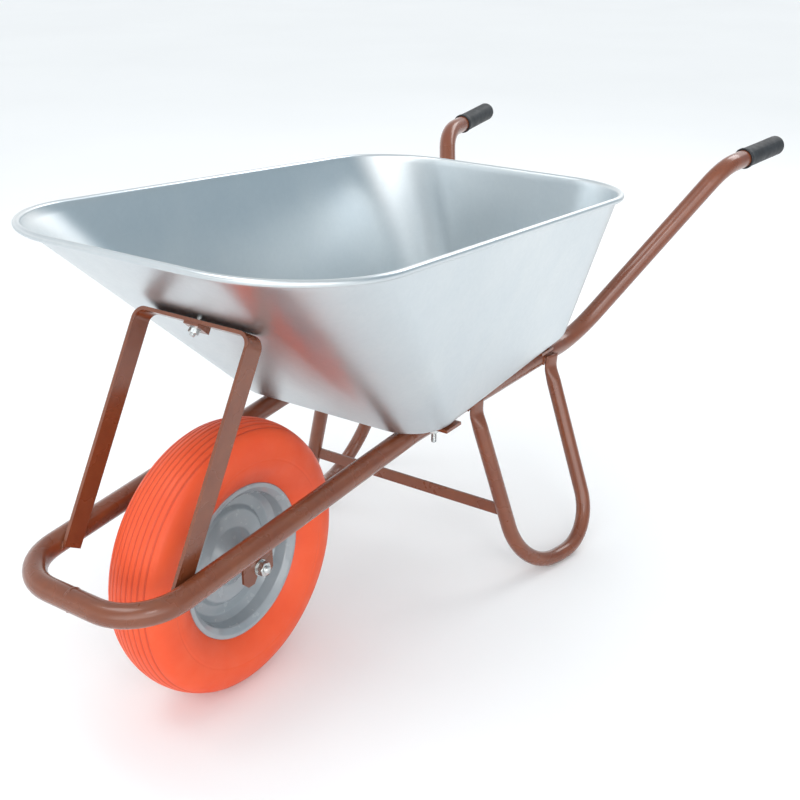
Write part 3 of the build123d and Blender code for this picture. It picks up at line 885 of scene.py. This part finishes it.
def grip(name, side, node_name):
    end = at(1250.0, side * 322.5, 607.0)
    inward = (at(1043.0, side * 295.0, 598.0) - end).normalized()
    outer, bore = 18.2, tube_radius + 0.05
    dome = [
        (
            outer - 11 + 11 * math.sin(a), 11 - 11 * math.cos(a),
        ) for a in (math.radians(9 * n) for n in range(11))
    ]
    body = [
        (
            outer - 0.15 * math.sin(math.pi * n / 12), between(dome_round, collar_start, n / 12),
        ) for n in range(1, 12)
    ]
    collar = [
        (outer, collar_start), (outer + 0.35, 128.6), (outer + 0.9, 129.4), (outer + 1.15, 130.6),
        (outer + 1.2, 132), (outer + 1.15, 134.4), (outer + 0.8, 135.5), (outer + 0.2, grip_length),
    ]
    inside = [
        (bore + 0.6, grip_length), (bore + 0.05, 135.4), (bore, 134.0), (bore, 6.0), (0.4, 6.0), (0.4, 0.0),
    ]

    def seam(angle):
        return 0.22 * math.exp(-((math.sin(angle)) / 0.03) ** 2)

    made = lathe(name, end, inward, dome + body + collar + inside, grip_plastic, steps=144, bend=seam)
    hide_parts(node_name)
    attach(made, "frame")
    return made


grip("left_grip_visual", 1, "left_grip")
grip("right_grip_visual", -1, "right_grip")
print("grips done")

# %% [markdown]
# ## Axle, nuts and bolts
# The axle is a rod with a rolled thread at both ends. The nuts are hexagons with turned corners. The
# tray's bolts have low domed heads inside the tray and their threaded ends hang below the bars.

# %% Axle and its nuts
def finish_piece(made, node_name, body):
    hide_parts(node_name)
    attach(made, body)
    return made


out_left = Vector((0, 1, 0))
bracket_face = 62.0
axle_washer = 1.68
thread_start = 56.0
axle_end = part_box("axle")[1].y / MM
ends = []
for side in (1, -1):
    radius_at, levels = thread_shape(6.0, 1.75, axle_end - thread_start)
    ends.append(
        spun(
            "axle_end", axle + out_left * side * thread_start * MM, out_left * side, radius_at, levels,
            zinc, steps=48,
        )
    )
middle = spun(
    "axle_middle", axle - out_left * thread_start * MM, out_left, lambda a, h: 5.98, [0, 2 * thread_start],
    zinc, steps=64,
)
finish_piece(joined("axle_visual", ends + [middle]), "axle", "frame")

nuts = []
for side in (1, -1):
    radius_at, levels = nut_shape(19.0, 9.9, 6.0)
    low = bracket_face + axle_washer
    nuts.append(
        spun(
            "axle_nut", axle + out_left * side * low * MM, out_left * side, radius_at, levels, zinc,
            steps=144,
        )
    )
finish_piece(joined("axle_nuts_visual", nuts), "axle_nuts", "frame")
print("axle ends at", round(axle_end, 1), "mm")

# %% Tray bolts by Geometry Nodes
def solid_centres(name):
    """The plan position of each separate solid of a node that stands in all four corners."""
    points = np.array([v.co for v in frame["nodes"][name].data.vertices])
    split = points[:, 0].mean()
    centres = []
    for ahead in (True, False):
        for left in (True, False):
            chosen = points[((points[:, 0] > split) == ahead) & ((points[:, 1] > 0) == left)]
            centres.append(Vector((chosen.max(axis=0) + chosen.min(axis=0)) / 2))
    return centres


def instance_tree():
    """Puts one given piece on every point, turned by a small random amount about its own axis."""
    tree, given, result = node_group("bolt set", [
        ("Piece", "NodeSocketObject", None),
        ("Largest Turn", "NodeSocketFloat", 1.0),
        ("Seed", "NodeSocketInt", 7),
        ("Material", "NodeSocketMaterial", None),
    ])
    source = add(tree, "GeometryNodeObjectInfo", {"Object": given["Piece"]})
    turn = add(tree, "FunctionNodeRandomValue", {"Min": 0.0, "Seed": given["Seed"]}, data_type="FLOAT")
    tree.links.new(given["Largest Turn"], turn.inputs[3])
    spin = add(tree, "ShaderNodeCombineXYZ", {2: turn.outputs[1]})
    placed = add(
        tree, "GeometryNodeInstanceOnPoints",
        {"Points": given["Geometry"], "Instance": source.outputs["Geometry"], "Rotation": spin.outputs[0]},
    )
    return coated_result(tree, placed, given, result)


def on_points(name, points, template, seed):
    data = bpy.data.meshes.new(name)
    data.from_pydata([tuple(p) for p in points], [], [])
    source = bpy.data.objects.new(name, data)
    bpy.context.scene.collection.objects.link(source)
    made = grown(
        source, bolt_tree, {"Piece": template, "Largest Turn": 1.0, "Seed": seed, "Material": zinc}, name,
    )
    bpy.data.objects.remove(template, do_unlink=True)
    for face in made.data.polygons:
        face.use_smooth = True
    return made


bolt_tree = instance_tree()
down, zero = Vector((0, 0, -1)), Vector((0, 0, 0))


def domed_bolt(name, origin, direction, length, radius=4.0, head=8.4, head_height=2.4):
    """A low domed head whose underside is at the origin, and a threaded shank along the direction."""
    back = [(0.05, -head_height)] + [
        (
            head * math.sin(a), -head_height * math.cos(a) ** 0.8,
        ) for a in (math.radians(10 * n) for n in range(1, 9))
    ]
    back += [(head, -0.25), (head - 0.25, 0.0), (0.05, 0.0)]
    top = lathe(name + "_head", origin, direction, back, zinc, steps=64)
    radius_at, levels = thread_shape(radius - 0.05, 1.25, length, 0.8)
    shank = spun(name + "_shank", origin, direction, radius_at, levels, zinc, steps=36)
    return joined(name, [top, shank])


seat = floor_height + sheet
spots_of_bolts = [Vector((c.x, c.y, seat * MM)) for c in solid_centres("tray_bolts")]
bolt_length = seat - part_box("tray_bolts")[0].z / MM
tray_bolts = on_points("tray_bolts_visual", spots_of_bolts, domed_bolt("bolt", zero, down, bolt_length), 3)
finish_piece(tray_bolts, "tray_bolts", "frame")

nut_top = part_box("tray_bolt_nuts")[1].z
radius_at, levels = nut_shape(12.7, 6.6, 4.0)
nut_piece = spun("nut", zero, down, radius_at, levels, zinc, steps=96)
tray_nuts = on_points(
    "tray_nuts_visual", [Vector((c.x, c.y, nut_top)) for c in solid_centres("tray_bolt_nuts")], nut_piece,
    5,
)
finish_piece(tray_nuts, "tray_bolt_nuts", "frame")
print("tray bolts", len(spots_of_bolts), "length", round(bolt_length, 1))

# %% Brace bolt
# The bolt stands square to the tray's sloping front: its washer gives the place and the direction.
washer_points = np.array([v.co for v in frame["nodes"]["brace_washer"].data.vertices])
square = np.linalg.svd(washer_points - washer_points.mean(axis=0), full_matrices=False)[2][2]
outward = Vector(square) * (1 if square[0] > 0 else -1)
washer_middle = Vector(washer_points.mean(axis=0))
bolt_points = np.array([v.co for v in frame["nodes"]["brace_bolt"].data.vertices])
reach = (bolt_points - np.array(washer_middle)) @ np.array(outward)
head_under = washer_middle + outward * (reach.min() + 2.4 * MM)
brace_bolt = domed_bolt("brace_bolt_visual", head_under, outward, (reach.max() - reach.min()) / MM - 2.4)
finish_piece(brace_bolt, "brace_bolt", "frame")
nut_points = np.array([v.co for v in frame["nodes"]["brace_nut"].data.vertices])
nut_start = ((nut_points - np.array(washer_middle)) @ np.array(outward)).min()
radius_at, levels = nut_shape(12.7, 6.6, 4.0)
brace_nut = spun(
    "brace_nut_visual", washer_middle + outward * nut_start, outward, radius_at, levels, zinc, steps=96,
)
finish_piece(brace_nut, "brace_nut", "frame")
print("brace bolt direction", [round(v, 3) for v in outward])

# %% [markdown]
# ## Paint and plating on the carried-over nodes
# The frame tubes, the flat bars and the brackets keep their CAD shape, which already has the bends
# and cut ends of the real ones. They get the brown paint, with edges softened as paint softens them.

# %% Dress the CAD nodes
painted = [
    "left_frame_tube", "right_frame_tube", "front_brace", "brace_wedge", "leg_cross_brace",
    "front_cross_member", "rear_cross_member", "left_axle_bracket", "right_axle_bracket",
]
plated = ["left_axle_spacer", "right_axle_spacer", "axle_washers", "brace_washer", "tray_bolt_washers"]


def dress(names, material):
    for name in names:
        data = frame["nodes"][name].data
        data.materials.clear()
        data.materials.append(material)
        for face in data.polygons:
            face.material_index = 0


dress(painted, paint)
dress(plated, zinc)
dress(["hub_tube"], rim_paint)
dress(["left_hub_bush", "right_hub_bush"], nylon)
print("dressed", len(painted) + len(plated) + 3, "CAD nodes")

# %% [markdown]
# ## Weld beads
# Every joint of the frame is welded by hand: a row of overlapping ripples, a few millimetres wide,
# that follows the line where two pieces meet. The guide lines are laid near the joints and pulled
# onto the tube's own surface, and a Geometry Nodes tree sets the ripples along them.

# %% Weld tree
def weld_tree():
    tree, given, result = node_group("weld bead", [
        ("Ripple Pitch", "NodeSocketFloat", 0.0014),
        ("Bead Width", "NodeSocketFloat", 0.005),
        ("Bead Height", "NodeSocketFloat", 0.0028),
        ("Unevenness", "NodeSocketFloat", 0.16),
        ("Seed", "NodeSocketInt", 11),
        ("Material", "NodeSocketMaterial", None),
    ])
    calc = partial(maths, tree)
    curve = add(tree, "GeometryNodeMeshToCurve", {"Mesh": given["Geometry"]})
    even = add(
        tree, "GeometryNodeResampleCurve", {"Curve": curve.outputs[0], "Length": given["Ripple Pitch"]},
        mode="LENGTH",
    )
    along = add(tree, "GeometryNodeInputTangent").outputs[0]
    facing = add(tree, "FunctionNodeAlignRotationToVector", {"Vector": along}, axis="X")
    ripple = add(tree, "GeometryNodeMeshIcoSphere", {"Radius": 0.5, "Subdivisions": 2})
    low = calc("SUBTRACT", 1.0, given["Unevenness"])
    high = calc("ADD", 1.0, given["Unevenness"])
    wobble = add(tree, "FunctionNodeRandomValue", {"Seed": given["Seed"]}, data_type="FLOAT")
    tree.links.new(low, wobble.inputs[2])
    tree.links.new(high, wobble.inputs[3])
    size = add(tree, "ShaderNodeCombineXYZ", {
        0: calc("MULTIPLY", given["Ripple Pitch"], 2.6),
        1: calc("MULTIPLY", given["Bead Width"], wobble.outputs[1]),
        2: calc("MULTIPLY", given["Bead Height"], wobble.outputs[1]),
    })
    placed = add(
        tree, "GeometryNodeInstanceOnPoints",
        {
            "Points": even.outputs[0], "Instance": ripple.outputs["Mesh"], "Rotation": facing.outputs[0],
            "Scale": size.outputs[0],
        },
    )
    soft = add(tree, "GeometryNodeSetShadeSmooth", {"Geometry": placed.outputs[0]})
    return coated_result(tree, soft, given, result)


def surface_of(name):
    data = frame["nodes"][name].data
    return BVHTree.FromPolygons([v.co for v in data.vertices], [tuple(f.vertices) for f in data.polygons])


tube_skin = surface_of("left_frame_tube")


def pulled(points, skin=tube_skin, within=6.0):
    """The guide's points moved onto a surface. A guide may not start far from it."""
    line = []
    for p in spaced(points, 2 * MM):
        spot, normal, _, distance = skin.find_nearest(p)
        if spot is not None and distance < within * MM:
            line.append(spot + normal * 0.3 * MM)
    return line


def tube_at(back):
    """Side distance and height of the left frame tube's middle, in mm, between the nose and the rear bend."""
    if back < 285.0:
        share = (back + 277.0) / (285.0 + 277.0)
        return between(115.0, 126.0, share), between(270.0, 314.0, share)
    return between(126.0, 134.6, (back - 285.0) / (799.0 - 285.0)), 314.0


def weld_lines():
    """Guides of all the welds on the left side, in the order a welder would make them."""
    lines = []
    # The leg's two pressed ends, around three sides of each.
    for back in (436.0, 679.0):
        side, height = tube_at(back)
        face = side + 16.6
        half = 15.6
        lines.append(
            pulled(
                [
                    at(back - half, face, 304), at(back - half, face, 318), at(back - half + 3, face, 321),
                    at(back + half - 3, face, 321), at(back + half, face, 318), at(back + half, face, 304),
                ],
                within=8,
            )
        )
    # The brace's foot, along the two edges that lie on the tube's inner side.
    side, height = tube_at(-191.0)
    lean = math.radians(30.0)
    for edge in (-15.0, 15.0):
        start = (-(191.0) - edge * math.cos(lean), height - 6 + edge * math.sin(lean))
        guide = []
        for step in range(-1, 9):
            up = step * 3.0
            guide.append(at(start[0] + up * math.sin(lean), side - 16.2, start[1] + up * math.cos(lean)))
        lines.append(pulled(guide, within=1.6))
    # The two cross members, where their edges cross the top of the tube.
    for back, half in ((303.0, 20.0), (660.0, 20.0)):
        for edge in (-half, half):
            side, height = tube_at(back + edge)
            lines.append(
                pulled([at(back + edge, side - 7, height + 15.2), at(back + edge, side + 7, height + 15.2)])
            )
    # The axle bracket, along its outer line on the tube.
    for low in (0, 1):
        guide = []
        for step in range(13):
            back = between(27.0, -33.0, step / 12)
            side, height = tube_at(back)
            turn = math.radians(225 + (12 if low else -12))
            guide.append(at(back, side + 16.2 * math.cos(turn), height + 16.2 * math.sin(turn)))
        lines.append(pulled(guide))
    return [line for line in lines if len(line) > 3]


left_lines = weld_lines()
right_lines = [[Vector((p.x, -p.y, p.z)) for p in line] for line in left_lines]
nose = at(-277.0, 0, 270.0)
# The seam at the nose is ground flush in front and keeps its bead only at the back.
ring = [
    nose + Vector((math.cos(a), 0, math.sin(a))) * 15.6 * MM for a in (
        math.radians(50 + 260 * n / 60) for n in range(61)
    )
]
guides = left_lines + right_lines + [ring]
print(
    "welds", len(guides), "longest",
    round(max(sum((b - a).length for a, b in zip(g, g[1:])) for g in guides) / MM), "mm",
)

# %% Set the beads
points, edges = [], []
for guide in guides:
    first = len(points)
    points += guide
    edges += [(first + n, first + n + 1) for n in range(len(guide) - 1)]
data = bpy.data.meshes.new("weld_guides")
data.from_pydata([tuple(p) for p in points], edges, [])
guide_object = bpy.data.objects.new("weld_guides", data)
bpy.context.scene.collection.objects.link(guide_object)
welds = grown(
    guide_object, weld_tree(),
    {
        "Ripple Pitch": 0.0014, "Bead Width": 0.0046, "Bead Height": 0.0024, "Unevenness": 0.16, "Seed": 11,
        "Material": paint_on_weld,
    },
    "weld_beads",
)
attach(welds, "frame")
print("weld faces", len(welds.data.polygons))

# %% [markdown]
# ## Stage, light and camera
# A plain pale floor and soft studio light: one large source above and ahead, one from the side and
# a weak one behind, so that the tubes carry long soft streaks and the tray shows bright and dark bands.

# %% Stage
floor_paint, tree, shader = new_material(
    "pale studio floor", metallic=0.0, roughness=0.7, specular_ior_level=0.2,
)
give(
    mixed(tree, spread(tree, spots(tree, 900.0, 2.0), 0.0, 1.0), linear("#F8F8F8"), linear("#FBFBFB")),
    shader, "Base Color",
)
floor = piece(
    "studio_floor", [(-60, -60, 0), (60, -60, 0), (60, 60, 0), (-60, 60, 0)], [(0, 1, 2, 3)], floor_paint,
)

# A pale room: bright in front of the barrow's left side, cooler and dimmer behind it, grey overhead.
# The sheet metal shows these differences as soft bands.
world = bpy.data.worlds.new("studio")
bpy.context.scene.world = world
world.use_nodes = True
tree = world.node_tree
background = next(n for n in tree.nodes if n.type == "BACKGROUND")
direction = add(tree, "ShaderNodeTexCoord").outputs["Generated"]
parts = add(tree, "ShaderNodeSeparateXYZ", {0: direction}).outputs


def facing(toward, low, high):
    """0 to 1 as the direction turns towards the given one."""
    same = add(
        tree, "ShaderNodeVectorMath", {0: direction, 1: toward}, operation="DOT_PRODUCT",
    ).outputs["Value"]
    return add(
        tree, "ShaderNodeMapRange", {0: same, 1: low, 2: high, 3: 0.0, 4: 1.0},
        interpolation_type="SMOOTHSTEP",
    ).outputs[0]


lift = add(
    tree, "ShaderNodeMapRange", {0: parts[2], 1: 0.15, 2: 0.7, 3: 0.0, 4: 1.0},
    interpolation_type="SMOOTHSTEP",
).outputs[0]
room = mixed(tree, lift, linear("#FFFFFF"), linear("#C6CBCE"))
room = mixed(tree, facing((-0.66, 0.74, 0.12), 0.62, 0.95), room, linear("#94A5AF"))
tree.links.new(room, background.inputs["Color"])
strength = add(
    tree, "ShaderNodeMapRange", {0: facing((0.79, 0.60, 0.1), 0.6, 0.97), 1: 0.0, 2: 1.0, 3: 1.3, 4: 3.2},
).outputs[0]
tree.links.new(strength, background.inputs["Strength"])


def area_light(name, place, target, size, watts, colour="#FFFFFF"):
    data = bpy.data.lights.new(name, "AREA")
    data.shape = "RECTANGLE"
    data.size, data.size_y = size
    data.energy = watts
    data.color = linear(colour)[:3]
    made = bpy.data.objects.new(name, data)
    made.location = place
    made.rotation_euler = (Vector(target) - Vector(place)).to_track_quat("-Z", "Y").to_euler()
    bpy.context.scene.collection.objects.link(made)
    return made


area_light("key", (1.4, -0.6, 3.0), (0, 0, 0.3), (1.8, 0.9), 22)
area_light("side", (2.4, 2.6, 2.6), (0.2, 0, 0.3), (0.9, 0.9), 14)
area_light("back", (-2.4, 0.4, 2.4), (0, 0, 0.5), (1.8, 0.9), 24)

# %% Camera
camera_data = bpy.data.cameras.new("camera")
camera = bpy.data.objects.new("camera", camera_data)
bpy.context.scene.collection.objects.link(camera)
bpy.context.scene.camera = camera
camera.location = at(-1103.9, 1050.3, 1090.0)
camera.rotation_euler = [math.radians(v) for v in (66.4455, 0.1921, 124.8896)]
camera_data.sensor_width = 36.0
camera_data.lens = 1220.3 / 800 * 36.0
camera_data.shift_x = (400 - 386.2) / 800
camera_data.shift_y = (403.4 - 400) / 800
bpy.context.scene.view_settings.view_transform = "Standard"
